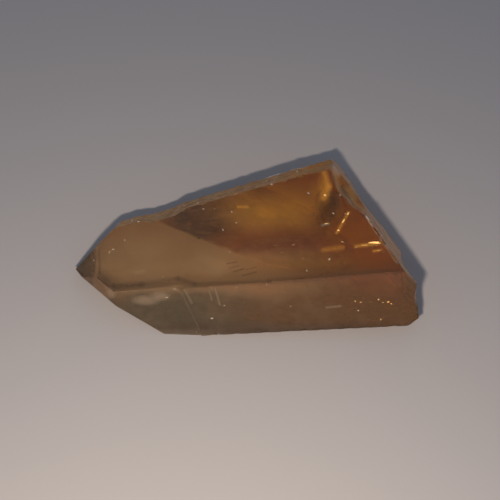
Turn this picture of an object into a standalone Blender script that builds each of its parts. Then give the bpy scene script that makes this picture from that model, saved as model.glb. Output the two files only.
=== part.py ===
"""Citrine crystal point: one broken quartz crystal lying on its flat underside.

The long axis runs along X with the point at -X, the viewer stands at -Y and Z is up.
Lengths in the list below are millimetres, in the crystal's own frame, and angles are degrees.
"""

import bpy
import bmesh
from math import cos, pi, radians, sin, sqrt
from mathutils import Matrix, Vector, noise

MM = 0.001

# How the crystal lies: its long axis dips towards the point.
AXIS_DIP = 7.0

# Angle between each pyramid face at the point and the prism face below it, as quartz has it.
PYRAMID_TILT = 38.2

# Prism faces: turns of 60 degrees from the top face, and distance from the frame's zero point.
PRISM_FACES = {
    "top": (0, 14.10),
    "lower_front": (2, 15.75),
}

# Pyramid faces at the point, in the same turns.
PYRAMID_FACES = {
    "point_top": (0, 31.25),
    "point_upper_front": (1, 31.60),
    "point_lower_front": (2, 23.40),
}

# Faces that grew a little out of true: a place on the face, its compass turn and its slope.
UNEVEN_FACES = {
    "upper_front": ((2.0, -11.8, 14.3), -92.0, 60.2),
    "point_upper_back": ((-30.7, 3.8, 10.4), 139.5, 71.5),
}

# Broken faces, in the same way.
BROKEN_FACES = {
    "underside": ((0.0, 0.0, 0.0), 0.0, 180.0),
    "crust_bevel": ((-2.6, 10.8, 13.9), 111.5, 43.0),
    "crust_wall": ((10.4, 18.2, 12.0), 107.0, 84.0),
    "end_bevel": ((31.3, -3.3, 18.0), 31.0, 63.0),
    "end_wall": ((34.9, 1.3, 8.0), 32.0, 97.0),
    "butt": ((38.9, -15.0, 11.0), 4.0, 84.0),
    "butt_lower": ((39.0, -17.5, 6.5), -35.0, 118.0),
}

# Shell-shaped breaks: centre, the three radii, turn about Z, and the height of the rings.
SHELL_BREAKS = {
    "back_corner_bite": ((33.0, 16.2, 25.2), (15.8, 15.6, 15.6), 0.0, 0.16),
    "end_flute": ((39.0, 16.9, 4.0), (13.8, 14.2, 24.0), 30.0, 0.12),
    "end_notch": ((41.3, -4.6, 12.0), (5.9, 7.6, 19.0), 0.0, 0.10),
    "end_wall_bite": ((47.0, 5.6, 0.0), (12.5, 15.0, 9.6), 32.0, 0.14),
    "butt_shell": ((53.2, -14.4, 13.5), (15.0, 13.0, 12.0), 4.0, 0.10),
    "crust_dent_point": ((-23.2, 17.2, 20.4), (15.0, 15.2, 15.2), 14.0, 0.10),
    "crust_dent_end": ((12.6, 31.0, 28.2), (20.0, 20.0, 20.4), 15.0, 0.12),
    "crust_wall_shell": ((-15.5, 28.5, 0.0), (20.0, 18.0, 15.0), 17.0, 0.18),
    "crust_wall_step": ((8.0, 33.2, 5.0), (14.0, 15.0, 10.5), 17.0, 0.16),
    "crust_wall_end": ((30.6, 31.0, 2.0), (13.0, 12.0, 13.0), 0.0, 0.14),
    "under_hollow": ((-0.6, 9.2, -4.0), (33.0, 10.4, 9.0), -25.0, 0.16),
    "under_hollow_end": ((20.6, 10.4, -2.6), (4.2, 6.2, 7.4), 0.0, 0.10),
    "under_wave_front": ((22.0, -23.8, -2.6), (12.0, 6.0, 7.8), 3.0, 0.06),
    "under_wave_point": ((-3.5, -24.4, -5.2), (9.0, 6.0, 7.2), 0.0, 0.06),
    "ridge_notch": ((-16.4, -12.4, 14.8), (3.6, 2.0, 3.3), 4.0, 0.03),
}
RING_GAP = 3.1
FINE_BREAK, COARSE_BREAK = 5, 4
FINE_FROM = 9.0

# The ledge that the upper front face steps down over, towards the point.
LEDGE_DROP = 0.6
LEDGE_TOP = (-15.4, -10.8, 12.3)
LEDGE_LEAN = 14.0
LEDGE_SLAB = (40.0, 60.0, 8.0)

# Small chips along the worn edges: the two faces that meet there, where the chips start and end
# along the edge's main direction, how many there are, and how wide.
CHIP_EDGES = (
    ("upper_front", "lower_front", -13.0, 38.6, 16, 0.60),
    ("upper_front", "butt", 15.0, 7.0, 4, 0.60),
    ("crust_bevel", "crust_wall", -27.0, 18.5, 11, 0.65),
    ("end_bevel", "end_wall", 15.0, -1.0, 6, 0.70),
    ("top", "end_bevel", 3.6, -9.0, 6, 0.50),
    ("top", "upper_front", -12.0, 35.0, 7, 0.34),
    ("top", "crust_bevel", -12.0, 14.0, 7, 0.42),
    ("crust_wall", "underside", -24.0, -17.0, 2, 0.70),
)
CHIP_SEED = 7

BLOCK = (110.0, 90.0, 60.0)


def slope_normal(turn, slope):
    """Outward side of a face from its compass turn and its slope, 0 facing up and 180 facing down."""
    turn, slope = radians(turn), radians(slope)
    return Vector((cos(turn) * sin(slope), sin(turn) * sin(slope), cos(slope)))


def crystal_axes():
    """The direction of the point, and the outward side of the top prism face."""
    dip = radians(AXIS_DIP)
    return Vector((-cos(dip), 0.0, -sin(dip))), Vector((-sin(dip), 0.0, cos(dip)))


def prism_normal(turns):
    """Outward side of a prism face, so many sixths of a turn from the top face to the front."""
    point, top = crystal_axes()
    return Matrix.Rotation(radians(-60.0 * turns), 3, point) @ top


def pyramid_normal(turns):
    """Outward side of the pyramid face that stands on a prism face."""
    point, _ = crystal_axes()
    tilt = radians(PYRAMID_TILT)
    return prism_normal(turns) * cos(tilt) + point * sin(tilt)


def face_planes():
    """Every flat face's name, with its outward side and its distance from the zero point."""
    planes = {name: (prism_normal(turns), away) for name, (turns, away) in PRISM_FACES.items()}
    for name, (turns, away) in PYRAMID_FACES.items():
        planes[name] = pyramid_normal(turns), away
    for name, (place, turn, slope) in {**UNEVEN_FACES, **BROKEN_FACES}.items():
        normal = slope_normal(turn, slope)
        planes[name] = normal, normal.dot(Vector(place))
    return planes


def edge_points(first, second, start, end):
    """The two ends of the edge where two faces meet, from where they lie along its main direction."""
    planes = face_planes()
    normals = [planes[name][0] for name in (first, second)]
    run = normals[0].cross(normals[1])
    main_axis = max(range(3), key=lambda axis: abs(run[axis]))
    across = Vector([float(axis == main_axis) for axis in range(3)])
    system = Matrix((*normals, across)).inverted()
    return [system @ Vector((planes[first][1], planes[second][1], place)) for place in (start, end)]


def cut_face(bm, normal, away):
    """Cuts the block along one plane and closes the cut with a flat face."""
    geometry = bm.verts[:] + bm.edges[:] + bm.faces[:]
    place = normal * away * MM
    bmesh.ops.bisect_plane(bm, geom=geometry, dist=1e-7, plane_co=place, plane_no=normal, clear_outer=True)
    rim = [edge for edge in bm.edges if edge.is_boundary]
    bmesh.ops.contextual_create(bm, geom=rim)


def new_object(name, bm, collection):
    mesh = bpy.data.meshes.new(name)
    bm.to_mesh(mesh)
    bm.free()
    thing = bpy.data.objects.new(name, mesh)
    collection.objects.link(thing)
    return thing


def faceted_block():
    """A block cut down to the crystal's prism, pyramid and broken faces."""
    bm = bmesh.new()
    bmesh.ops.create_cube(bm, size=1.0, matrix=Matrix.Diagonal([side * MM for side in BLOCK] + [1.0]))
    for normal, away in face_planes().values():
        cut_face(bm, normal, away)
    bmesh.ops.recalc_face_normals(bm, faces=bm.faces)
    return bm


def shell_break(centre, radii, turn, ripple):
    """An egg-shaped cutter with the faint rings and the unevenness of a glassy break."""
    bm = bmesh.new()
    detail = FINE_BREAK if max(radii) > FINE_FROM else COARSE_BREAK
    bmesh.ops.create_icosphere(bm, subdivisions=detail, radius=1.0)
    size = sqrt(radii[0] * radii[1])
    placing = Matrix.Translation(Vector(centre)) @ Matrix.Rotation(radians(turn), 4, "Z")
    for vert in bm.verts:
        way = vert.co.normalized()
        ring = sin(2 * pi * (way.x + 0.35 * way.z) * size / RING_GAP)
        lump = noise.noise(way * 3.0 + Vector(centre) * 0.1)
        swell = 1.0 + (ripple * ring + 3.0 * ripple * lump) / size
        vert.co = placing @ Vector([part * radius * swell for part, radius in zip(way, radii)]) * MM
    return bm


def ledge_cutter():
    """A slab off the upper front face, whose end leaves the slanted step of the ledge."""
    place, turn, slope = UNEVEN_FACES["upper_front"]
    outward = slope_normal(turn, slope)
    step = (Matrix.Rotation(radians(LEDGE_LEAN), 3, outward) @ crystal_axes()[0]).normalized()
    step = (step - outward * step.dot(outward)).normalized()
    across = outward.cross(step)
    length, width, depth = LEDGE_SLAB
    top = Vector(LEDGE_TOP) + outward * outward.dot(Vector(place) - Vector(LEDGE_TOP))
    middle = top + step * length / 2 + outward * (depth / 2 - LEDGE_DROP)
    frame = Matrix((step, across, outward)).transposed().to_4x4()
    bm = bmesh.new()
    size = Matrix.Diagonal((length * MM, width * MM, depth * MM, 1.0))
    bmesh.ops.create_cube(bm, size=1.0, matrix=Matrix.Translation(middle * MM) @ frame @ size)
    return bm


def chip_cutters(collection):
    """Small flakes off the worn edges, each at its own place, turn and size."""
    for edge, (first, second, start, end, count, width) in enumerate(CHIP_EDGES):
        start, end = edge_points(first, second, start, end)
        along = (end - start).to_track_quat("X", "Z").to_matrix()
        for index in range(count):
            draw = noise.noise_vector(Vector((edge * 7.3, index * 3.7, CHIP_SEED + 0.5)))
            share = (index + 0.5 + 0.6 * draw.x) / count
            size = width * (0.7 + 0.9 * abs(draw.y))
            stretch = Vector((2.6 + 2.0 * draw.z, 0.9, 1.0))
            place = start.lerp(end, share)
            bm = bmesh.new()
            bmesh.ops.create_icosphere(bm, subdivisions=1, radius=1.0)
            for vert in bm.verts:
                rough = 1.0 + 0.35 * noise.noise(vert.co * 1.7 + place)
                flake = Vector([part * wide * rough for part, wide in zip(vert.co, stretch)])
                vert.co = (place + along @ flake * size) * MM
            new_object(f"chip_{edge}_{index}", bm, collection)


def citrine():
    """Smoky honey-coloured quartz."""
    material = bpy.data.materials.new("citrine")
    material.use_nodes = True
    shader = material.node_tree.nodes["Principled BSDF"]
    shader.inputs["Base Color"].default_value = (0.30, 0.15, 0.06, 1.0)
    shader.inputs["Roughness"].default_value = 0.12
    shader.inputs["Metallic"].default_value = 0.0
    shader.inputs["IOR"].default_value = 1.544
    shader.inputs["Transmission Weight"].default_value = 0.85
    return material


def clear_scene():
    for thing in list(bpy.data.objects):
        bpy.data.objects.remove(thing, do_unlink=True)


def new_collection(name):
    collection = bpy.data.collections.new(name)
    bpy.context.scene.collection.children.link(collection)
    return collection


def stand_on_centre(things, solid):
    """Parents everything to an empty, moved so that the solid's base centre is at the origin."""
    bpy.context.view_layer.update()
    shape = solid.evaluated_get(bpy.context.evaluated_depsgraph_get()).to_mesh()
    corners = [[side(vert.co[axis] for vert in shape.vertices) for axis in range(3)] for side in (min, max)]
    low, high = Vector(corners[0]), Vector(corners[1])
    base = bpy.data.objects.new("base_centre", None)
    solid.users_collection[0].objects.link(base)
    base.location = (-(low.x + high.x) / 2, -(low.y + high.y) / 2, -low.z)
    for thing in things:
        thing.parent = base


def main():
    clear_scene()
    crystal_parts = new_collection("citrine_crystal_point")
    cutters = new_collection("cutters")
    crystal = new_object("citrine_crystal", faceted_block(), crystal_parts)
    crystal.data.materials.append(citrine())
    for name, (centre, radii, turn, ripple) in SHELL_BREAKS.items():
        new_object(name, shell_break(centre, radii, turn, ripple), cutters)
    new_object("front_ledge", ledge_cutter(), cutters)
    chip_cutters(cutters)
    for cutter in cutters.objects:
        cutter.hide_render = True
        cutter.display_type = "WIRE"
    breaks = crystal.modifiers.new("breaks", "BOOLEAN")
    breaks.operation = "DIFFERENCE"
    breaks.solver = "EXACT"
    breaks.operand_type = "COLLECTION"
    breaks.collection = cutters
    stand_on_centre([crystal] + list(cutters.objects), crystal)


main()
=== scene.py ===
"""A natural citrine point, lying on its broken underside on a plain pale sheet of paper.

The stone is one piece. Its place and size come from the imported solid; this script gives it the fine
relief of its faces, its glass and colour, the chips that flash and the dust that lies on it.
"""
import math

import bmesh
import bpy
import numpy as np
from mathutils import Matrix, Vector, noise


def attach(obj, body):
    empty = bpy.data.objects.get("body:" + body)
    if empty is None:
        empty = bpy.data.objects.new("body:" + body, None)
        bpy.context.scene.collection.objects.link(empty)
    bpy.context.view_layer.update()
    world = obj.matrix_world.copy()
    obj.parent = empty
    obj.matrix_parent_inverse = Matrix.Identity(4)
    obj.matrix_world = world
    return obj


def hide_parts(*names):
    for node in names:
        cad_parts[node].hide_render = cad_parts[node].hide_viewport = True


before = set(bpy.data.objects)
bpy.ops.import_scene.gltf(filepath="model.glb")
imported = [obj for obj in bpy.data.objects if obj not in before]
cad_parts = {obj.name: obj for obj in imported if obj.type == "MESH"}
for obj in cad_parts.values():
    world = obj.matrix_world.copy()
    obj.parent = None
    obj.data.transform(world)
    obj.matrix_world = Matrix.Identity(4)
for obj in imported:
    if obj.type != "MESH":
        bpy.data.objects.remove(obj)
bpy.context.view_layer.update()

MM = 0.001
STONE_NODE = "citrine_crystal"
STONE_BODY = "root"

# The view
EYE = (1.08, -124.66, 282.64)     # mm
LOOK_DOWN = 24.0                  # degrees between the line of sight and straight down
FIELD_OF_VIEW = 21.94             # degrees
NEAREST_SEEN = 10.0               # mm

# The light
SKY = (0.69, 0.79, 1.0)
SKY_STRENGTH = 0.20
LAMP_PLACE = (-12.0, -116.0, 183.0)   # mm
LAMP_AIM = (-25.0, -195.0, 0.0)       # mm
LAMP_SIZE = 16.0                  # mm
LAMP_COLOUR = (1.0, 0.845, 0.71)
LAMP_POWER = 0.335                # watts
LIGHT_PATHS = {
    "use_denoising": True, "max_bounces": 24, "transmission_bounces": 20,
    "transparent_max_bounces": 16, "caustics_refractive": True, "caustics_reflective": True,
    "blur_glossy": 0.5, "sample_clamp_indirect": 8.0}

# The paper
PAPER_TOP = -0.1                  # mm, just under the stone
PAPER_SIDE = 1600.0
PAPER_COLOUR = (0.66, 0.63, 0.615)
PAPER_ROUGHNESS = 0.75

# Zones of the surface: the crust lies behind these two planes (outward side, distance in mm)
CRUST_PLANES = (((-0.250, 0.635, 0.731), 16.60), ((-0.291, 0.951, 0.105), 13.90))
CRUST_DEPTH = 1.5                 # mm under a crust plane that still counts as crust
CRUST_FACING = 0.25               # least share of +Y in the side of a crust face
END_PLANE = ((0.80, 0.50, 0.15), 22.5)
END_UPRIGHT = 0.93                # most share of Z in the side of a face of the broken end
END_FACING = 0.15                 # least share of +X in it
STRIKE_POINT = (19.8, 16.6, 18.0) # mm, where the blow that broke the end fell
LAYER_SIDE = (-0.25, 0.10, 0.96)
LAYER_GAP = 3.1                   # mm between the curved layers of the break
UNDER_DOWN = -0.12                # a face of the underside looks at least this much down
UNDER_FRONT = -0.6                # and, near the rim, no more than this to the front
UNDER_ALONG = (-0.5, 0.4)         # and no more than these to the point or to the broken end
UNDER_FROM = (-25.0, -10.0)       # mm, inside these even steep faces that look down are underside
UNDER_TO = 28.0
ZONE_BLUR = 1                     # rounds

# The stone's glass
QUARTZ_IOR = 1.544
GLASS_ROUGHNESS = 0.04
AMBER = (0.93, 0.57, 0.00)        # what is left of white light after the density's unit of depth
AMBER_DENSITY = 47.0              # per metre

# The film of fine dust and scratches on the grown faces, with thicker and darker places, and patches
# of painted shade and painted golden glow:
# colour, centre and radii in mm, softness, and how much of the glass it hides
FILM_COLOUR = (0.36, 0.23, 0.12)
FILM_SHARE = 0.12
FILM_ROUGHNESS = 0.45
FILM_UNEVEN = (0.7, 0.6)          # least share, and what the clouds add to it
PATCH_UNEVEN = (0.4, 1.2)         # the same for a patch
STREAK_UNEVEN = (0.3, 1.5)        # least share, and what the fine grain adds to it
BREAK_SHARE = (0.46, 0.16)        # least share on the broken end, and what its layers add
BREAK_BEND = 12.0                 # radians by which the clouds bend the layers
BREAK_TONE = (0.7, 0.2)           # how much the layers and the fine grain choose the colour
CLOUD_GRAIN = (5.0, 4.0)          # mm, detail
FINE_GRAIN = (0.5, 3.0)
FIBRE_GRAIN = (1.6, 3.0)
FIBRE_STRETCH = (0.35, 1.4, 1.0)
HAZE = (0.50, 0.37, 0.24)
# painted shade: dark lines along the ridge and the point's edges, and the darker foot of the front
# face; also the colour of the dark striae on the top face
PAINTED_SHADE_AND_STRIAE = (0.085, 0.045, 0.022)
# painted shade that darkens the point
TIP_PAINTED_SHADE = (0.125, 0.066, 0.027)
OLIVE = (0.120, 0.090, 0.046)
BROWN = (0.180, 0.080, 0.022)
# painted golden glow of light held in the stone, and painted golden flashes of its cracks
PAINTED_GOLD_GLOW = (1.0, 0.42, 0.05)
AMBER_BROWN = (0.42, 0.17, 0.03)
# pale: crushed quartz at the corner and a pale streak on the front face; also a painted highlight
# along the top edge of the broken end
PALE_AND_PAINTED_HIGHLIGHT = (0.90, 0.76, 0.58)
# painted amber glow on the broken end, in gold and brown bands along its layers
END_PAINTED_GLOW_GOLD = (0.86, 0.44, 0.10)
END_PAINTED_GLOW_BROWN = (0.50, 0.22, 0.045)
MILK = (0.80, 0.57, 0.29)
FILM_AND_PAINTED_LIGHT_PATCHES = (
    (MILK, (-23.0, -3.5, 11.0), (11.0, 8.0, 4.0), 0.75, 0.15),
    (MILK, (-9.0, -8.5, 13.5), (15.0, 4.5, 4.0), 0.75, 0.19),
    (OLIVE, (-16.0, -17.5, 7.5), (26.0, 4.6, 9.0), 0.25, 0.62),
    (BROWN, (24.0, -18.0, 7.5), (26.0, 4.6, 9.5), 0.35, 0.67),
    (BROWN, (28.0, -15.0, 13.0), (13.0, 4.2, 5.5), 0.5, 0.55),
    # painted shade on the point
    (TIP_PAINTED_SHADE, (-33.5, -13.0, 5.5), (6.5, 4.5, 8.0), 0.4, 0.36),
    (MILK, (-24.2, -9.4, 11.2), (2.4, 1.2, 2.0), 0.9, 0.22),
    (HAZE, (-23.0, -15.8, 8.9), (2.2, 1.0, 1.0), 0.9, 0.26),
    (HAZE, (-19.4, -15.1, 10.0), (1.6, 1.0, 0.9), 0.9, 0.24),
    (HAZE, (-31.6, -14.0, 10.0), (1.8, 1.2, 2.0), 0.4, 0.25),
    # painted shade over the point's left side
    (TIP_PAINTED_SHADE, (-39.0, -5.5, 6.0), (5.4, 8.5, 9.0), 0.12, 0.60),
    # painted shade: the front face darker towards its foot
    (PAINTED_SHADE_AND_STRIAE, (8.0, -20.4, 2.4), (40.0, 1.4, 2.6), 0.7, 0.50),
    # painted golden glow under the top face
    (PAINTED_GOLD_GLOW, (7.5, 4.8, 15.0), (12.5, 5.4, 5.0), 0.8, 0.34),
    (PAINTED_GOLD_GLOW, (18.3, 9.0, 16.5), (1.8, 5.0, 4.0), 0.7, 0.34),
    (PAINTED_GOLD_GLOW, (14.0, 15.8, 15.0), (7.0, 2.4, 4.0), 0.6, 0.40),
    (AMBER_BROWN, (20.6, 0.6, 16.7), (3.6, 6.0, 3.0), 0.4, 0.25),
    (AMBER_BROWN, (26.5, -2.0, 17.3), (5.0, 4.0, 3.0), 0.5, 0.25),
    (AMBER_BROWN, (17.7, -9.2, 16.4), (14.0, 1.8, 4.0), 0.7, 0.22),
    (PALE_AND_PAINTED_HIGHLIGHT, (21.3, 15.9, 16.8), (1.8, 2.1, 3.0), 0.6, 0.90),
)
# Scratches and striae in the film, and lines of painted shade, painted highlight and painted golden
# flashes: colour, start, end and width in mm, and how much of it they hide
STREAKS = (
    (HAZE, (-14.3, -13.4, 13.4), (-12.2, -16.0, 9.0), 0.40, 0.30),
    (HAZE, (-8.4, -13.8, 13.1), (-7.6, -15.7, 9.9), 0.30, 0.30),
    (HAZE, (-6.8, -14.0, 12.9), (-5.8, -16.4, 8.7), 0.40, 0.32),
    (HAZE, (-15.2, -13.8, 12.6), (-10.5, -20.5, 1.3), 0.50, 0.22),
    # painted shade: dark lines along the ridge between the top and front faces and along the point's
    # edges
    (PAINTED_SHADE_AND_STRIAE, (-33.4, -9.1, 10.1), (-30.1, -12.5, 10.5), 0.90, 0.25),
    (PAINTED_SHADE_AND_STRIAE, (-30.1, -12.5, 10.5), (-23.6, -12.5, 11.3), 1.00, 0.55),
    (PAINTED_SHADE_AND_STRIAE, (-23.6, -12.5, 11.3), (-15.3, -11.4, 12.3), 1.00, 0.28),
    (PAINTED_SHADE_AND_STRIAE, (-15.3, -11.4, 12.3), (-11.4, -13.0, 12.8), 0.90, 0.38),
    (PAINTED_SHADE_AND_STRIAE, (-11.4, -13.0, 12.8), (5.6, -13.2, 14.9), 0.80, 0.28),
    (PAINTED_SHADE_AND_STRIAE, (5.6, -13.2, 14.9), (34.0, -12.2, 18.4), 1.20, 0.30),
    (PAINTED_SHADE_AND_STRIAE, (-34.0, -2.8, 10.0), (-33.4, -9.1, 10.1), 0.45, 0.30),
    # dark striae on the top face near the ridge
    (PAINTED_SHADE_AND_STRIAE, (-4.1, -8.3, 13.7), (-1.9, -8.0, 14.0), 0.28, 0.40),
    (PAINTED_SHADE_AND_STRIAE, (-3.6, -9.4, 13.8), (-1.6, -9.0, 14.0), 0.24, 0.35),
    (PAINTED_SHADE_AND_STRIAE, (-2.6, -10.4, 13.9), (-0.4, -9.8, 14.1), 0.28, 0.45),
    (PAINTED_SHADE_AND_STRIAE, (-0.6, -11.4, 14.1), (2.5, -10.7, 14.5), 0.28, 0.40),
    (PAINTED_SHADE_AND_STRIAE, (0.2, -10.0, 14.2), (2.4, -9.5, 14.5), 0.24, 0.30),
    # painted golden flashes and glints
    (PAINTED_GOLD_GLOW, (18.2, 14.0, 16.4), (19.2, 9.8, 16.5), 1.00, 0.55),
    (PAINTED_GOLD_GLOW, (19.2, 9.8, 16.5), (18.1, 7.0, 16.4), 1.20, 0.60),
    # painted highlight along the top edge of the broken end
    (PALE_AND_PAINTED_HIGHLIGHT, (27.6, 1.8, 17.6), (30.0, -2.8, 17.9), 0.45, 0.85),
    (HAZE, (30.0, -2.8, 17.9), (34.0, -9.9, 18.4), 0.60, 0.55),
    # painted golden flashes along the cracks
    (PAINTED_GOLD_GLOW, (25.0, -5.6, 17.3), (30.2, -5.1, 17.9), 0.70, 0.60),
    (PAINTED_GOLD_GLOW, (28.9, -7.0, 17.7), (30.5, -6.8, 18.0), 0.50, 0.60),
    (PAINTED_GOLD_GLOW, (23.5, 2.9, 17.1), (20.8, -2.0, 16.7), 0.60, 0.55),
    (PAINTED_GOLD_GLOW, (-1.7, 5.9, 14.0), (0.6, 5.7, 14.3), 0.60, 0.50),
    (HAZE, (17.5, 0.1, 16.3), (18.9, 0.4, 16.5), 0.55, 0.60),
    (PALE_AND_PAINTED_HIGHLIGHT, (21.6, -17.0, 9.4), (18.5, -17.2, 9.0), 0.50, 0.16),
    # a fainter painted golden flash
    (PAINTED_GOLD_GLOW, (17.6, -6.1, 16.3), (21.8, -5.7, 16.9), 1.00, 0.34),
)

# The underside behind the slanted line, seen through the stone, carries painted shade and painted
# golden glow: colour, centre and radii in mm, softness
LINE_SIDE = (0.42, 0.908, 0.0)
LINE_PLACE = -2.5                 # mm along that side
LINE_FADE_FROM = -2.0             # mm along X, where the stain's edge grows soft
LINE_FADE = 0.40
LINE_BLUR = 0.7                   # mm
LINE_WANDER = 0.8                 # mm
FROST_COLOUR = (0.95, 0.80, 0.58)
FROST_SHARE = 0.75
FLOOR_ROUGHNESS = 0.5
FLOOR_EDGE = (0.4, 0.6)           # the underside's mark where its finish starts and is whole
UNDER_PAINTED_SHARE = (0.05, 0.18)        # what the painted part adds to the share, evenly and by the fine grain
UNDER_PAINTED_UNEVEN = (0.45, 0.7, 0.5)   # least share, and what clouds and fibres add to it
FIBRE_COLOUR = (0.75, 0.46, 0.13)
FIBRE_RAMP = (0.45, 0.75)
FIBRE_SHARE = 0.35
# painted shade: the amber-brown of the underside behind the slanted line
UNDER_PAINTED_BASE = (0.80, 0.38, 0.08)
# painted shade in the dark and red-brown patches, painted golden glow in the golden ones
UNDER_PAINTED_SHADE_AND_GLOW = (
    ((0.21, 0.115, 0.070), (-10.0, 6.5, 2.5), (9.0, 6.5, 12.0), 0.45),
    ((1.00, 0.66, 0.12), (9.0, 9.5, 4.0), (13.0, 6.0, 12.0), 0.5),
    ((0.50, 0.170, 0.030), (8.0, -1.0, 2.0), (12.0, 3.6, 12.0), 0.5),
    ((0.16, 0.070, 0.026), (20.0, 8.4, 3.0), (2.6, 4.6, 12.0), 0.3),
    ((1.00, 0.72, 0.20), (17.4, 12.6, 2.0), (1.4, 3.0, 12.0), 0.6),
    ((0.38, 0.26, 0.09), (14.0, -5.5, 0.0), (9.0, 2.6, 6.0), 0.6),
)

# The crust
CRUST_TURN = 16.0                 # degrees, the heading of its layers
CRUST_PALE = (0.84, 0.50, 0.23)
CRUST_DARK = (0.38, 0.19, 0.070)
CRUST_GOLD = (0.72, 0.36, 0.07)
CRUST_GREEN = (0.21, 0.21, 0.15)
# painted highlight: a bright line along the crust's outer edge
CRUST_PAINTED_HIGHLIGHT = (0.95, 0.90, 0.84)
CRUST_GOLD_FROM, CRUST_GOLD_TO = 6.0, 16.0   # mm along X
CRUST_ROUGHNESS = 0.7
CRUST_GRAIN = (0.9, 4.0)          # mm, detail
CRUST_STRETCH = (0.45, 1.2, 1.2)
GRIT_RAMP, GRIT_TONE = (0.28, 0.72), 0.75
CLOUD_RAMP, CLOUD_TONE = (0.3, 0.7), 0.25
GREEN_GRAIN = (0.5, 2.0)          # mm, detail
GREEN_RAMP, GREEN_SHARE = (0.60, 0.66), 0.5
GOLD_SHARE = 0.7
CRUST_EDGE_RAMP = (0.2, 0.8)      # the crust's mark where its finish starts and is whole
CRUST_SHARE = (0.5, 0.6, 0.25)    # share, what the grit adds and what the golden part loses
# where the painted highlight runs along the crust's outer edge
HIGHLIGHT_START, HIGHLIGHT_END = (3.5, 14.5, 11.4), (19.4, 19.1, 12.8)
HIGHLIGHT_WIDTH = 0.6                  # mm
HIGHLIGHT_UNEVEN = (0.8, 1.6)          # least share, and what the fine grain adds to it

# Chips and healed cracks that meet the surface: middle, length and width in mm, heading in
# degrees, and lean in degrees from the side that flashes
CHIP_SIDE = (-0.145, -0.470, 0.871)
CHIPS = (
    ((23.3, 2.4, 17.04), 1.6, 0.50, 62.0, 3.0),
    ((22.1, 0.4, 16.90), 2.2, 0.40, 62.0, 4.0),
    ((21.1, -1.6, 16.77), 0.9, 0.70, 62.0, 0.0),
    ((29.0, -5.2, 17.74), 3.2, 1.15, 6.0, 0.0),
    ((26.4, -5.5, 17.42), 2.6, 0.50, 8.0, 3.0),
    ((24.9, -5.9, 17.24), 0.8, 0.40, 20.0, 2.0),
    ((29.7, -7.0, 17.83), 1.6, 0.45, 6.0, 1.0),
    ((31.0, -7.4, 17.98), 0.5, 0.35, 40.0, 4.0),
    ((22.6, -4.6, 16.95), 2.0, 0.25, -20.0, 17.0),
    ((8.4, -6.2, 15.20), 1.0, 0.35, 12.0, 4.0),
    ((11.0, -4.4, 15.53), 0.8, 0.45, 10.0, 3.0),
    ((7.0, -4.3, 15.03), 1.3, 0.22, 8.0, 9.0),
    ((18.4, 0.3, 16.43), 1.2, 0.55, 20.0, 15.0),
    ((18.3, 7.4, 16.42), 0.8, 1.2, 0.0, 15.0),
    ((24.8, -16.2, 10.9), 0.9, 0.25, -50.0, 8.0),
    ((26.2, -16.5, 10.6), 0.6, 0.25, 30.0, 7.0),
    ((28.5, -16.4, 10.8), 0.6, 0.25, 30.0, 8.0),
    ((30.2, -16.1, 11.5), 0.6, 0.35, 60.0, 4.0),
    ((31.3, -16.5, 10.8), 0.6, 0.30, 50.0, 3.0),
    ((32.4, -16.4, 11.0), 0.8, 0.60, 15.0, 0.0),
    ((33.1, -16.8, 10.5), 0.5, 0.30, -30.0, 5.0),
    ((31.1, -19.0, 6.5), 0.6, 0.25, 60.0, 10.0),
)
CHIP_GOLD = (1.0, 0.66, 0.26)
CHIP_BROWN = (0.60, 0.30, 0.07)
CHIP_ROUGHNESS = 0.5
CHIP_GRAIN = (0.5, 3.0)           # mm, detail
CHIP_RAMP = (0.35, 0.7)
CHIP_SINK = 0.08                  # mm into the stone
CHIP_HALF_THICK = 0.04            # mm
CHIP_ROUNDS = 4                   # subdivisions
CHIP_RAGGED = 0.30                # share of its size
CHIP_RAGGED_WAVES = (3.0, 2.0, 5.0)
CHIP_BEND = 0.05                  # mm
CHIP_BEND_WAVES = (1.5, 3.0, 0.0)

# Dust specks
SPECKS_PER_M2 = 14000.0
SPECK_RADIUS = 0.25               # mm
SPECK_SEED = 11
SPECK_RAGGED, SPECK_WAVES = 0.5, 9.0
SPECK_LEAST, SPECK_MOST = (0.5, 0.4, 0.25), (1.7, 0.9, 0.6)   # times the radius
SPECK_TURN = (0.3, 0.3, 6.28)     # radians, at most
DUST_PALE = (0.90, 0.80, 0.66)
DUST_DARK = (0.72, 0.58, 0.42)
DUST_GRAIN = (0.2, 2.0)           # mm, detail
DUST_ROUGHNESS = 0.6
DUST_UP = 0.3                     # least share of Z in the side of a face that holds dust

# The surface mesh
SLICE_GAP = 0.8                   # mm
SLICE_SNAP = 0.02                 # mm
WELD_GAP = 0.002                  # mm
ROUGH_DOWN = -0.9                 # a face that looks further down stays coarse
ROUGH_MARGIN = 1.0                # mm in front of the broken end that is cut finer too
TINY_AREA = 1e-15                 # square metres, so that no weight is nought
SHARP_ANGLE = 24.0                # degrees
NO_ANGLE = 9.0                    # radians, for an edge without two faces
FOOT_HEIGHT = 0.3                 # mm, below which the relief moves points sideways alone

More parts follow.
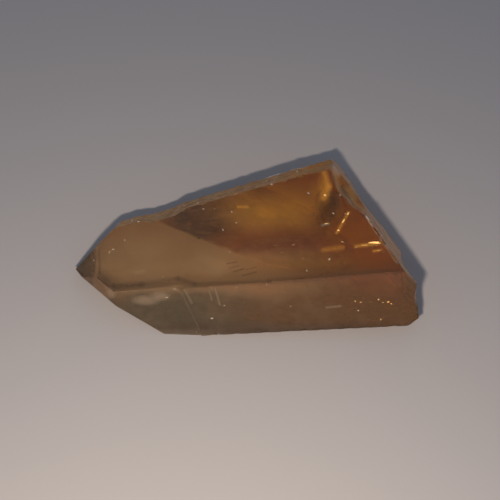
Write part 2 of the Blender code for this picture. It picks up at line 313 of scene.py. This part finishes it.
# The relief's heights in mm, its noise waves per mm and its shares. The crust's sheets are in
# radians and radians per mm, the rings' gap is in mm and their wander in rings
CRUST_RELIEF = 0.09
UNDER_RELIEF = 0.30
BREAK_RELIEF = 0.06
GROWN_RELIEF = 0.012
LEAST_SHARE = 0.01                # a zone's smallest share that shapes the surface
FRACTAL = (0.9, 2.1, 4)           # fall-off, step between octaves, octaves
ROUGH_WAVES, ROUGH_SHARE = 0.75, 0.75
SHEET_WAVES, SHEET_SHARE = 6.3, 0.25
SHEET_TILT = 0.4                  # mm up for each mm to the back
SHEET_WANDER, SHEET_WANDER_WAVES = 2.5, 0.22
RING_GAP, RING_SHARE = 3.7, 0.4
RING_WANDER, RING_WANDER_WAVES = 1.2, 0.15
SWELL_WAVES, SWELL_SHARE = 0.35, 1.2
HOLLOW_WAVES = 0.35
HILLOCK_WAVES, HILLOCK_SHARE = (0.10, 0.35, 0.35), 1.4
STEP_WAVES, STEP_SHARE = (0.9, 0.12, 0.12), 0.8


def place(values):
    """A point in metres from one in millimetres."""
    return Vector(values) * MM


def unit(values):
    return Vector(values).normalized()


def stretched(spot, waves):
    """A place stretched by its own factor along each axis."""
    return Vector([along * count for along, count in zip(spot, waves)])


def new_object(name, mesh):
    made = bpy.data.objects.new(name, mesh)
    bpy.context.scene.collection.objects.link(made)
    return made


class Value:
    """A number on a shader socket. Arithmetic on it adds Math nodes to its finish."""

    def __init__(self, finish, socket):
        self.finish = finish
        self.socket = socket

    def math(self, operation, *others):
        numbers = dict(enumerate((self, *others)))
        made = self.finish.node("ShaderNodeMath", {"operation": operation}, numbers)
        return Value(self.finish, made.outputs[0])

    def __add__(self, other):
        return self.math("ADD", other)

    __radd__ = __add__

    def __mul__(self, other):
        return self.math("MULTIPLY", other)

    __rmul__ = __mul__

    def __sub__(self, other):
        return self.math("SUBTRACT", other)

    def __rsub__(self, other):
        return self * -1.0 + other

    def __truediv__(self, other):
        return self.math("DIVIDE", other)

    def above(self, other):
        return self.math("MAXIMUM", other)

    def below(self, other):
        return self.math("MINIMUM", other)

    def clear(self):
        """Kept between 0 and 1."""
        return self.above(0.0).below(1.0)

    def ramp(self, low, high):
        """0 at low, 1 at high, straight between them."""
        return ((self - low) * (1.0 / (high - low))).clear()


class Nodes:
    """A node tree, with one way to add a node to it."""

    def __init__(self, tree):
        self.tree = tree

    def node(self, kind, settings=None, sockets=None):
        """Adds a node: first its settings, then the values or links of its sockets."""
        made = self.tree.nodes.new(kind)
        for name, value in (settings or {}).items():
            setattr(made, name, value)
        for name, value in (sockets or {}).items():
            self.feed(made.inputs[name], value)
        return made

    def feed(self, socket, value):
        if isinstance(value, Value):
            value = value.socket
        if isinstance(value, bpy.types.NodeSocket):
            self.tree.links.new(value, socket)
        else:
            socket.default_value = value


class Finish(Nodes):
    """A material."""

    def __init__(self, name):
        self.material = bpy.data.materials.new(name)
        self.material.use_nodes = True
        super().__init__(self.material.node_tree)
        self.tree.nodes.clear()
        self.output = self.node("ShaderNodeOutputMaterial")
        self.place = self.node("ShaderNodeTexCoord").outputs["Object"]

    def surface(self, shader):
        self.feed(self.output.inputs["Surface"], shader)

    def volume(self, shader):
        self.feed(self.output.inputs["Volume"], shader)

    def grain(self, size, detail=2.0, seed=0.0, stretch=(1.0, 1.0, 1.0), turn=0.0):
        """Noise from 0 to 1 with features of a size in millimetres."""
        turned = self.node("ShaderNodeVectorRotate", {"rotation_type": "Z_AXIS"}, {
            "Vector": self.place, "Angle": math.radians(-turn)})
        scaled = self.node("ShaderNodeMapping", None, {
            "Vector": turned.outputs[0], "Location": (seed, -seed, seed), "Scale": stretch})
        made = self.node("ShaderNodeTexNoise", None, {
            "Vector": scaled.outputs[0], "Scale": 1.0 / (size * MM), "Detail": detail})
        return Value(self, made.outputs[0])

    def mark(self, name):
        """A zone that the mesh carries, from 0 to 1."""
        made = self.node("ShaderNodeAttribute", {"attribute_name": name})
        return Value(self, made.outputs["Fac"])

    def mix(self, share, first, second):
        made = self.node("ShaderNodeMix", {"data_type": "RGBA"}, {0: share, 6: first, 7: second})
        return made.outputs[2]


def welded(node):
    """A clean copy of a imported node's mesh, with its doubled points merged."""
    mesh = bpy.data.meshes.new("stone")
    shape = bmesh.new()
    shape.from_mesh(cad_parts[node].data)
    bmesh.ops.remove_doubles(shape, verts=shape.verts, dist=WELD_GAP * MM)
    shape.to_mesh(mesh)
    shape.free()
    return mesh


def slice_up(shape, gap, shift, faces):
    """Cuts the faces along three sets of evenly spaced planes, which keeps the mesh closed."""
    geometry = [*{v for f in faces for v in f.verts}, *{e for f in faces for e in f.edges}, *faces]
    for axis in range(3):
        side = Vector([float(axis == number) for number in range(3)])
        places = [vert.co[axis] / MM for vert in shape.verts]
        first, last = math.ceil(min(places) / gap - shift), math.floor(max(places) / gap - shift)
        for step in range(first, last + 1):
            at = side * (step + shift) * gap * MM
            cut = bmesh.ops.bisect_plane(
                shape, geom=geometry, dist=SLICE_SNAP * MM, plane_co=at, plane_no=side)
            geometry = cut["geom"]


def behind_crust_plane(spot):
    return any(spot.dot(unit(side)) > away - CRUST_DEPTH for side, away in CRUST_PLANES)


def rough_place(face):
    """True for a face of the crust or of the broken end, where the relief is finer."""
    spot = face.calc_center_median() / MM
    end_side, end_away = END_PLANE
    end = spot.dot(unit(end_side)) > end_away - ROUGH_MARGIN
    return face.normal.z > ROUGH_DOWN and (end or behind_crust_plane(spot))


def refine(shape):
    """Gives the stone a mesh that is fine enough for its relief, and finer where it is rough."""
    shape.normal_update()
    slice_up(shape, SLICE_GAP, 0.0, shape.faces[:])
    slice_up(shape, SLICE_GAP, 0.5, [face for face in shape.faces if rough_place(face)])
    bmesh.ops.triangulate(shape, faces=shape.faces[:])
    bmesh.ops.dissolve_degenerate(shape, dist=SLICE_SNAP * MM, edges=shape.edges[:])
    bmesh.ops.triangulate(shape, faces=[f for f in shape.faces if len(f.verts) > 3])
    shape.normal_update()


def zones(shape):
    """How much each face of the mesh is crust, underside, broken end or grown face."""
    shape.normal_update()
    marks = {"crust": [], "under": [], "broken": []}
    end_side, end_away = END_PLANE
    for face in shape.faces:
        spot, side = face.calc_center_median() / MM, face.normal
        end = spot.dot(unit(end_side)) > end_away and abs(side.z) < END_UPRIGHT and side.x > END_FACING
        inner = spot.y > UNDER_FROM[1] and UNDER_FROM[0] < spot.x < UNDER_TO
        level = side.y > UNDER_FRONT and UNDER_ALONG[0] < side.x < UNDER_ALONG[1]
        crust = behind_crust_plane(spot) and side.y > CRUST_FACING and not end
        marks["crust"].append(float(crust))
        marks["under"].append(float(side.z < UNDER_DOWN and (inner or level)))
        marks["broken"].append(float(end))
    return marks


def corner_marks(shape, marks):
    """Face marks as soft corner marks, weighed by the faces' sizes."""
    sizes = np.array([face.calc_area() for face in shape.faces])
    owners = np.array([[vert.index for vert in face.verts] for face in shape.faces])
    ends = np.array([[vert.index for vert in edge.verts] for edge in shape.edges])
    count = len(shape.verts)
    soft = {}
    for name, values in marks.items():
        total, weight = np.zeros(count), np.full(count, TINY_AREA)
        for corner in range(3):
            np.add.at(total, owners[:, corner], sizes * values)
            np.add.at(weight, owners[:, corner], sizes)
        value = total / weight
        for _ in range(ZONE_BLUR):
            total, weight = value.copy(), np.ones(count)
            for a, b in ((0, 1), (1, 0)):
                np.add.at(total, ends[:, a], value[ends[:, b]])
                np.add.at(weight, ends[:, a], 1.0)
            value = total / weight
        soft[name] = value
    return soft


def relief(spot, crust, broken, under):
    """How far a place on the surface stands out, in mm."""
    high = 0.0
    if crust > LEAST_SHARE:
        rough = noise.fractal(spot * ROUGH_WAVES, *FRACTAL)
        wander = SHEET_WANDER * noise.noise(spot * SHEET_WANDER_WAVES)
        sheets = math.sin(SHEET_WAVES * (spot.z + SHEET_TILT * spot.y) + wander)
        high += crust * CRUST_RELIEF * (ROUGH_SHARE * rough + SHEET_SHARE * sheets)
    if broken > LEAST_SHARE:
        away = (spot - Vector(STRIKE_POINT)).length
        wander = RING_WANDER * noise.noise(spot * RING_WANDER_WAVES)
        ring = math.sin(2 * math.pi * (away / RING_GAP + wander))
        swell = noise.noise(spot * SWELL_WAVES)
        high += broken * BREAK_RELIEF * (RING_SHARE * ring + SWELL_SHARE * swell)
    if under > LEAST_SHARE and spot.y > UNDER_FROM[1]:
        high += under * UNDER_RELIEF * noise.fractal(spot * HOLLOW_WAVES, *FRACTAL)
    grown = max(0.0, 1.0 - crust - broken - under)
    if grown > LEAST_SHARE:
        hillocks = noise.noise(stretched(spot, HILLOCK_WAVES))
        steps = noise.noise(stretched(spot, STEP_WAVES))
        high += grown * GROWN_RELIEF * (HILLOCK_SHARE * hillocks + STEP_SHARE * steps)
    return high


def stone_mesh():
    mesh = welded(STONE_NODE)
    shape = bmesh.new()
    shape.from_mesh(mesh)
    refine(shape)
    shape.verts.index_update()
    marks = corner_marks(shape, zones(shape))
    for face in shape.faces:
        face.smooth = True
    for edge in shape.edges:
        edge.smooth = edge.calc_face_angle(NO_ANGLE) < math.radians(SHARP_ANGLE)
    table = zip(shape.verts, marks["crust"], marks["broken"], marks["under"])
    moves = [vert.normal * relief(vert.co / MM, *shares) * MM for vert, *shares in table]
    for vert, move in zip(shape.verts, moves):
        vert.co += move if vert.co.z > FOOT_HEIGHT * MM else Vector((move.x, move.y, 0.0))
    shape.to_mesh(mesh)
    shape.free()
    for name, values in marks.items():
        mesh.attributes.new(name, "FLOAT", "POINT").data.foreach_set("value", values)
    return mesh


def vector_math(f, operation, first, second=(0.0, 0.0, 0.0), output=0):
    made = f.node("ShaderNodeVectorMath", {"operation": operation}, {0: first, 1: second})
    return made.outputs[output]


def patch(f, centre, radii, soft):
    """1 inside an egg-shaped patch of the stone, 0 outside it."""
    away = vector_math(f, "SUBTRACT", f.place, place(centre))
    scaled = vector_math(f, "DIVIDE", away, place(radii))
    return Value(f, vector_math(f, "LENGTH", scaled, output="Value")).ramp(1.0 + soft, 1.0 - soft)


def streak(f, start, end, width):
    """1 along a straight line on the stone, 0 beside it."""
    start, end = place(start), place(end)
    run = end - start
    away = vector_math(f, "SUBTRACT", f.place, start)
    reached = Value(f, vector_math(f, "DOT_PRODUCT", away, run, "Value"))
    share = (reached * (1.0 / run.length_squared)).clear()
    along = f.node("ShaderNodeVectorMath", {"operation": "SCALE"}, {0: run, "Scale": share}).outputs[0]
    gap = Value(f, vector_math(f, "LENGTH", vector_math(f, "SUBTRACT", away, along), output="Value"))
    return gap.ramp(width * MM, 0.0)


def plain_shader(f, colour, roughness, **more):
    """A principled shader, whose further sockets are given by their names with underscores."""
    sockets = {name.replace("_", " "): value for name, value in more.items()}
    made = f.node("ShaderNodeBsdfPrincipled", None, {
        "Base Color": colour, "Roughness": roughness, **sockets})
    return made.outputs[0]


def shader_mix(f, share, first, second):
    return f.node("ShaderNodeMixShader", None, {0: share, 1: first, 2: second}).outputs[0]


def film_and_painted_light_look(f, broken, cloud, fine):
    """The share and the colour of the film, with the broken end's layers, patches and streaks, among
    them painted light and shade.
    """
    share = FILM_SHARE * (FILM_UNEVEN[0] + FILM_UNEVEN[1] * cloud)
    down = Value(f, vector_math(f, "DOT_PRODUCT", f.place, LAYER_SIDE, "Value")) * (1 / MM)
    layers = (down * (2 * math.pi / LAYER_GAP) + cloud * BREAK_BEND).math("SINE") * 0.5 + 0.5
    share = share.above(broken * (BREAK_SHARE[0] + BREAK_SHARE[1] * layers))
    tone = layers * BREAK_TONE[0] + fine * BREAK_TONE[1]
    # the broken end's banded colour is a painted amber glow
    colour = f.mix(broken, (*FILM_COLOUR, 1), f.mix(tone, (*END_PAINTED_GLOW_BROWN, 1), (*END_PAINTED_GLOW_GOLD, 1)))
    for patch_colour, centre, radii, soft, hides in FILM_AND_PAINTED_LIGHT_PATCHES:
        here = patch(f, centre, radii, soft) * (PATCH_UNEVEN[0] + PATCH_UNEVEN[1] * cloud)
        share = share.above(here * hides)
        colour = f.mix(here.clear(), colour, (*patch_colour, 1))
    for streak_colour, start, end, width, hides in STREAKS:
        uneven = STREAK_UNEVEN[0] + STREAK_UNEVEN[1] * fine
        here = (streak(f, start, end, width) * uneven).clear() * hides
        share = share + here * (1.0 - share)
        colour = f.mix(here / share, colour, (*streak_colour, 1))
    return share, colour


def underside_look(f, under, along, cloud, fine):
    """The share and the colour of the frosted underside, with painted shade and painted golden glow
    behind the slanted line.
    """
    fibre = f.grain(*FIBRE_GRAIN, stretch=FIBRE_STRETCH)
    least, by_cloud, by_fibre = UNDER_PAINTED_UNEVEN
    under_painted = (*UNDER_PAINTED_BASE, 1)
    for colour, centre, radii, soft in UNDER_PAINTED_SHADE_AND_GLOW:
        here = patch(f, centre, radii, soft) * (cloud * by_cloud + fibre * by_fibre + least)
        under_painted = f.mix(here.clear(), under_painted, (*colour, 1))
    under_painted = f.mix(fibre.ramp(*FIBRE_RAMP) * FIBRE_SHARE, under_painted, (*FIBRE_COLOUR, 1))
    side = Value(f, vector_math(f, "DOT_PRODUCT", f.place, LINE_SIDE, "Value")) * (1 / MM)
    width = ((along - LINE_FADE_FROM) * LINE_FADE).above(0.0) + LINE_BLUR
    behind = ((side + cloud * LINE_WANDER - LINE_PLACE) / width).clear()
    share = FROST_SHARE + behind * (UNDER_PAINTED_SHARE[0] + UNDER_PAINTED_SHARE[1] * fine)
    return under.ramp(*FLOOR_EDGE) * share, f.mix(behind, (*FROST_COLOUR, 1), under_painted)


def crust_look(f, crust, along, cloud, fine):
    """The share and the colour of the layered crust, with a painted highlight along its outer edge."""
    grit = f.grain(*CRUST_GRAIN, stretch=CRUST_STRETCH, turn=CRUST_TURN)
    speck = f.grain(*GREEN_GRAIN, seed=3.0).ramp(*GREEN_RAMP)
    golden = along.ramp(CRUST_GOLD_FROM, CRUST_GOLD_TO)
    tone = grit.ramp(*GRIT_RAMP) * GRIT_TONE + cloud.ramp(*CLOUD_RAMP) * CLOUD_TONE
    colour = f.mix(tone, (*CRUST_DARK, 1), (*CRUST_PALE, 1))
    colour = f.mix(golden * GOLD_SHARE, colour, (*CRUST_GOLD, 1))
    colour = f.mix(speck * (1.0 - golden) * GREEN_SHARE, colour, (*CRUST_GREEN, 1))
    uneven = HIGHLIGHT_UNEVEN[0] + HIGHLIGHT_UNEVEN[1] * fine
    # the painted highlight along the crust's outer edge
    edge = (streak(f, HIGHLIGHT_START, HIGHLIGHT_END, HIGHLIGHT_WIDTH) * uneven).clear()
    even, by_grit, by_gold = CRUST_SHARE
    share = (grit * by_grit + even - golden * by_gold).above(edge).clear()
    return crust.ramp(*CRUST_EDGE_RAMP) * share, f.mix(edge, colour, (*CRUST_PAINTED_HIGHLIGHT, 1))


def stone_finish():
    f = Finish("citrine")
    cloud, fine = f.grain(*CLOUD_GRAIN), f.grain(*FINE_GRAIN, seed=1.0)
    along = Value(f, f.node("ShaderNodeSeparateXYZ", None, {0: f.place}).outputs["X"]) * (1 / MM)
    film_and_painted_light_share, film_and_painted_light_colour = film_and_painted_light_look(f, f.mark("broken"), cloud, fine)
    floor_share, floor_colour = underside_look(f, f.mark("under"), along, cloud, fine)
    crust_share, crust_colour = crust_look(f, f.mark("crust"), along, cloud, fine)
    body = plain_shader(
        f, (1, 1, 1, 1), GLASS_ROUGHNESS, IOR=QUARTZ_IOR, Transmission_Weight=1.0)
    body = shader_mix(f, film_and_painted_light_share, body, plain_shader(f, film_and_painted_light_colour, FILM_ROUGHNESS))
    body = shader_mix(f, floor_share, body, plain_shader(f, floor_colour, FLOOR_ROUGHNESS))
    body = shader_mix(f, crust_share, body, plain_shader(f, crust_colour, CRUST_ROUGHNESS))
    depth = f.node("ShaderNodeVolumeAbsorption", None, {
        "Color": (*AMBER, 1), "Density": AMBER_DENSITY})
    f.surface(body)
    f.volume(depth.outputs[0])
    return f.material


def chip_finish():
    f = Finish("chip_flash")
    colour = f.mix(f.grain(*CHIP_GRAIN).ramp(*CHIP_RAMP), (*CHIP_GOLD, 1), (*CHIP_BROWN, 1))
    f.surface(plain_shader(f, colour, CHIP_ROUGHNESS, Metallic=1.0))
    return f.material


def chips():
    """Chips and healed cracks that meet the surface: thin ragged lenses that flash in the light."""
    shape = bmesh.new()
    for number, (middle, length, width, heading, lean) in enumerate(CHIPS):
        side = unit(CHIP_SIDE)
        ahead = Vector((math.cos(math.radians(heading)), math.sin(math.radians(heading)), 0.0))
        ahead = (ahead - side * ahead.dot(side)).normalized()
        turned = Matrix((ahead, side.cross(ahead), side)).transposed().to_4x4()
        turned = turned @ Matrix.Rotation(math.radians(lean), 4, "X")
        lens = bmesh.ops.create_icosphere(shape, subdivisions=CHIP_ROUNDS, radius=1.0)["verts"]
        for vert in lens:
            edge = stretched((vert.co.x, vert.co.y, number), CHIP_RAGGED_WAVES)
            ragged = 1.0 + CHIP_RAGGED * noise.noise(edge)
            half = (length / 2, width / 2, CHIP_HALF_THICK)
            bend = stretched((vert.co.x, number, 0.0), CHIP_BEND_WAVES)
            spot = stretched(vert.co, half) * ragged
            spot.z += CHIP_BEND * noise.noise(bend)
            vert.co = place(middle) + turned @ (spot * MM) - Vector((0.0, 0.0, CHIP_SINK * MM))
    mesh = bpy.data.meshes.new("chips")
    for face in shape.faces:
        face.smooth = True
    shape.to_mesh(mesh)
    shape.free()
    made = new_object("chips", mesh)
    mesh.materials.append(chip_finish())
    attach(made, STONE_BODY)


def dust_tree(speck, finish):
    """Geometry nodes that scatter specks over the faces of their mesh."""
    tree = bpy.data.node_groups.new("dust", "GeometryNodeTree")
    face = tree.interface
    face.new_socket("Geometry", in_out="INPUT", socket_type="NodeSocketGeometry")
    density = face.new_socket("Density", in_out="INPUT", socket_type="NodeSocketFloat")
    seed = face.new_socket("Seed", in_out="INPUT", socket_type="NodeSocketInt")
    face.new_socket("Geometry", in_out="OUTPUT", socket_type="NodeSocketGeometry")
    made = Nodes(tree)
    start, end = made.node("NodeGroupInput"), made.node("NodeGroupOutput")
    spread = made.node("GeometryNodeDistributePointsOnFaces", None, {
        "Mesh": start.outputs["Geometry"], "Density": start.outputs["Density"],
        "Seed": start.outputs["Seed"]})
    shape = made.node("GeometryNodeObjectInfo", None, {"Object": speck})
    vectors = {"data_type": "FLOAT_VECTOR"}
    size = made.node("FunctionNodeRandomValue", vectors, {
        0: SPECK_LEAST, 1: SPECK_MOST, "Seed": start.outputs["Seed"]})
    turn = made.node("FunctionNodeRandomValue", vectors, {1: SPECK_TURN})
    lay = made.node("GeometryNodeInstanceOnPoints", None, {
        "Points": spread.outputs["Points"], "Instance": shape.outputs["Geometry"],
        "Scale": size.outputs[0], "Rotation": turn.outputs[0]})
    real = made.node("GeometryNodeRealizeInstances", None, {"Geometry": lay.outputs["Instances"]})
    paint = made.node("GeometryNodeSetMaterial", None, {
        "Geometry": real.outputs["Geometry"], "Material": finish})
    made.feed(end.inputs["Geometry"], paint.outputs["Geometry"])
    return tree, density.identifier, seed.identifier


def dust_finish():
    f = Finish("dust")
    colour = f.mix(f.grain(*DUST_GRAIN), (*DUST_PALE, 1), (*DUST_DARK, 1))
    f.surface(plain_shader(f, colour, DUST_ROUGHNESS))
    return f.material


def speck_mesh():
    """One ragged speck of dust."""
    mesh = bpy.data.meshes.new("speck")
    grain = bmesh.new()
    bmesh.ops.create_icosphere(grain, subdivisions=1, radius=SPECK_RADIUS * MM)
    for vert in grain.verts:
        vert.co *= 1.0 + SPECK_RAGGED * noise.noise(vert.co / MM * SPECK_WAVES)
    grain.to_mesh(mesh)
    grain.free()
    return mesh


def upper_faces(mesh):
    """A copy of the faces of a mesh that look up far enough to hold dust."""
    kept = bpy.data.meshes.new("dust")
    shape = bmesh.new()
    shape.from_mesh(mesh)
    lower = [face for face in shape.faces if face.normal.z < DUST_UP]
    bmesh.ops.delete(shape, geom=lower, context="FACES")
    shape.to_mesh(kept)
    shape.free()
    return kept


def dust(stone_piece):
    """Pale dust specks that lie on the faces that look up."""
    speck = new_object("speck", speck_mesh())
    made = new_object("dust", upper_faces(stone_piece.data))
    tree, density, seed = dust_tree(speck, dust_finish())
    scatter = made.modifiers.new("scatter", "NODES")
    scatter.node_group = tree
    scatter[density] = SPECKS_PER_M2
    scatter[seed] = SPECK_SEED
    graph = bpy.context.evaluated_depsgraph_get()
    specks = bpy.data.meshes.new_from_object(made.evaluated_get(graph))
    specks.name = "dust"
    made.modifiers.remove(scatter)
    made.data = specks
    bpy.data.objects.remove(speck)
    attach(made, STONE_BODY)


def stone():
    made = new_object("stone", stone_mesh())
    made.data.materials.clear()
    made.data.materials.append(stone_finish())
    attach(made, STONE_BODY)
    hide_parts(STONE_NODE)
    return made


def paper():
    half = PAPER_SIDE / 2
    corners = ((-half, -half), (half, -half), (half, half), (-half, half))
    mesh = bpy.data.meshes.new("paper")
    mesh.from_pydata([place((x, y, PAPER_TOP)) for x, y in corners], [], [(0, 1, 2, 3)])
    made = new_object("paper", mesh)
    f = Finish("paper")
    f.surface(plain_shader(f, (*PAPER_COLOUR, 1), PAPER_ROUGHNESS))
    mesh.materials.append(f.material)


def lights():
    world = bpy.data.worlds.new("room")
    world.use_nodes = True
    back = world.node_tree.nodes["Background"]
    back.inputs["Color"].default_value = (*SKY, 1)
    back.inputs["Strength"].default_value = SKY_STRENGTH
    bpy.context.scene.world = world
    lamp = bpy.data.lights.new("soft_lamp", "AREA")
    lamp.shape = "DISK"
    lamp.size = LAMP_SIZE * MM
    lamp.energy = LAMP_POWER
    lamp.color = LAMP_COLOUR
    made = new_object("soft_lamp", lamp)
    made.location = place(LAMP_PLACE)
    away = made.location - place(LAMP_AIM)
    made.rotation_euler = away.to_track_quat("Z", "Y").to_euler()


def camera():
    eye = bpy.data.cameras.new("camera")
    eye.angle = math.radians(FIELD_OF_VIEW)
    eye.clip_start = NEAREST_SEEN * MM
    made = new_object("camera", eye)
    made.location = place(EYE)
    made.rotation_euler = (math.radians(LOOK_DOWN), 0, 0)
    bpy.context.scene.camera = made


def light_paths():
    scene = bpy.context.scene
    scene.view_settings.view_transform = "Standard"
    for name, value in LIGHT_PATHS.items():
        setattr(scene.cycles, name, value)


camera()
paper()
dust(stone())
chips()
lights()
light_paths()
